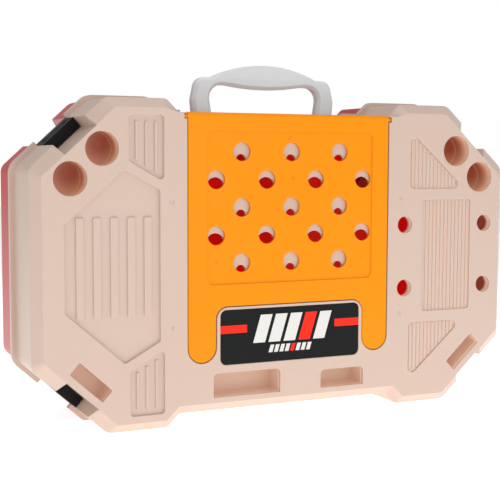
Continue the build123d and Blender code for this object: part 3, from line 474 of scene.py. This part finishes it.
finishes = {
    "beige_plastic": mouldedPlastic(
        "beigePlastic", beigeLook, shadeCups, ringMarks(ring["beige"]), paintSunkenLight
    ),
    "red_plastic": mouldedPlastic("redPlastic", redLook, paintedLight=paintBackLight),
    "orange_plastic": mouldedPlastic("orangePlastic", orangeLook, marks=ringMarks(ring["orange"])),
    "label_black": labelMaterial(),
    "grey_plastic": mouldedPlastic("greyPlastic", greyLook),
    "black_plastic": mouldedPlastic("blackPlastic", blackLook),
    "pin_steel": steelMaterial(),
    "tool_black": mouldedPlastic("toolBlackPlastic", blackLook),
    "tool_orange": mouldedPlastic("toolOrangePlastic", orangeLook),
    "tool_grey": mouldedPlastic("toolGreyPlastic", toolGreyLook),
    "tool_red": mouldedPlastic("toolRedPlastic", redLook),
    "tool_yellow": mouldedPlastic("toolYellowPlastic", yellowLook),
}
for part in frame["record"]["subparts"]:
    mesh = nodes[part["node"]].data
    mesh.materials.clear()
    mesh.materials.append(finishes[part["material_slot"]])
print("materials assigned")


# Studio: pale floor whose emission paints a pool of light, brighter near the case, a pale world and large
# soft lamps that face one point
studio = {
    "floorSize": 8.0,
    "floorDark": (0.93, 0.93, 0.93),
    "floorLight": (0.95, 0.95, 0.95),
    "floorDrift": 2.0,
    "floorRoughness": 0.8,
    "glowNear": (0.80, 0.80, 0.80),
    "glowFar": (0.36, 0.36, 0.36),
    "glowReach": (0.2, 1.4),
    "worldLight": 0.45,
    "worldSeen": 1.0,
    "aim": (0, 0, 0.12),
    "lamps": [
        {"name": "overLamp", "at": (0.0, -0.4, 2.4), "size": 2.0, "watts": 17},
        {"name": "frontLamp", "at": (0.4, -2.8, 0.7), "size": 1.8, "watts": 10},
        {"name": "leftLamp", "at": (-2.4, -0.9, 0.9), "size": 1.6, "watts": 3},
        {"name": "rightLamp", "at": (2.2, -1.7, 0.6), "size": 1.6, "watts": 5},
    ],
}


def makeFloor():
    half = studio["floorSize"] / 2
    corners = np.array([(-1, -1, 0), (1, -1, 0), (1, 1, 0), (-1, 1, 0)]) * half
    mesh = bpy.data.meshes.new("floor")
    mesh.from_pydata(corners.tolist(), [], [(0, 1, 2, 3)])
    floor = bpy.data.objects.new("floor", mesh)
    bpy.context.scene.collection.objects.link(floor)
    finish = Finish(bpy.data.materials.new("floorPaint"))
    drift = finish.noise(studio["floorDrift"])
    away = finish.ramp(finish.vector("LENGTH", finish.place, out=1), *studio["glowReach"])
    inputs = {
        "Base Color": finish.mix(drift, tone(*studio["floorDark"]), tone(*studio["floorLight"])),
        "Roughness": studio["floorRoughness"],
        # painted light: the floor's glow is strongest near the case
        "Emission Color": finish.mix(away, tone(*studio["glowNear"]), tone(*studio["glowFar"])),
        "Emission Strength": 1.0,
    }
    mesh.materials.append(finish.output("ShaderNodeBsdfPrincipled", inputs))


# The world looks white, and lights the case with less
def makeWorld():
    finish = Finish(bpy.data.worlds.new("studioWorld"), "ShaderNodeOutputWorld")
    seen = finish.node("ShaderNodeLightPath", out="Is Camera Ray")
    span = {"Value": seen, "To Min": studio["worldLight"], "To Max": studio["worldSeen"]}
    inputs = {"Color": tone(1, 1, 1), "Strength": finish.node("ShaderNodeMapRange", None, span)}
    bpy.context.scene.world = finish.output("ShaderNodeBackground", inputs)


def makeLamp(settings):
    data = bpy.data.lights.new(settings["name"], "AREA")
    data.size = settings["size"]
    data.energy = settings["watts"]
    lamp = bpy.data.objects.new(settings["name"], data)
    lamp.location = settings["at"]
    away = np.array(settings["at"]) - np.array(studio["aim"])
    turn = math.atan2(away[0], -away[1])
    tilt = math.atan2(math.hypot(away[0], away[1]), away[2])
    lamp.rotation_euler = (tilt, 0, turn)
    bpy.context.scene.collection.objects.link(lamp)


# Camera: the photograph's own place, turn and lens
camera = {
    "at": (-0.3931, -0.8356, 0.2102),
    "turn": -24.57,
    "tilt": -4.787,
    "roll": 0.182,
    "lens": 77.67,
    "sensor": 36.0,
    "nearest": 0.01,
}


def makeCamera():
    data = bpy.data.cameras.new("photoCamera")
    data.lens = camera["lens"]
    data.sensor_width = camera["sensor"]
    data.clip_start = camera["nearest"]
    eye = bpy.data.objects.new("photoCamera", data)
    eye.matrix_world = (
        Matrix.Translation(camera["at"])
        @ Matrix.Rotation(math.radians(camera["turn"]), 4, "Z")
        @ Matrix.Rotation(math.radians(90 + camera["tilt"]), 4, "X")
        @ Matrix.Rotation(math.radians(camera["roll"]), 4, "Z")
    )
    bpy.context.scene.collection.objects.link(eye)
    bpy.context.scene.camera = eye


makeFloor()
makeWorld()
for settings in studio["lamps"]:
    makeLamp(settings)
makeCamera()
bpy.context.scene.view_settings.view_transform = "Standard"
print("studio and camera ready")
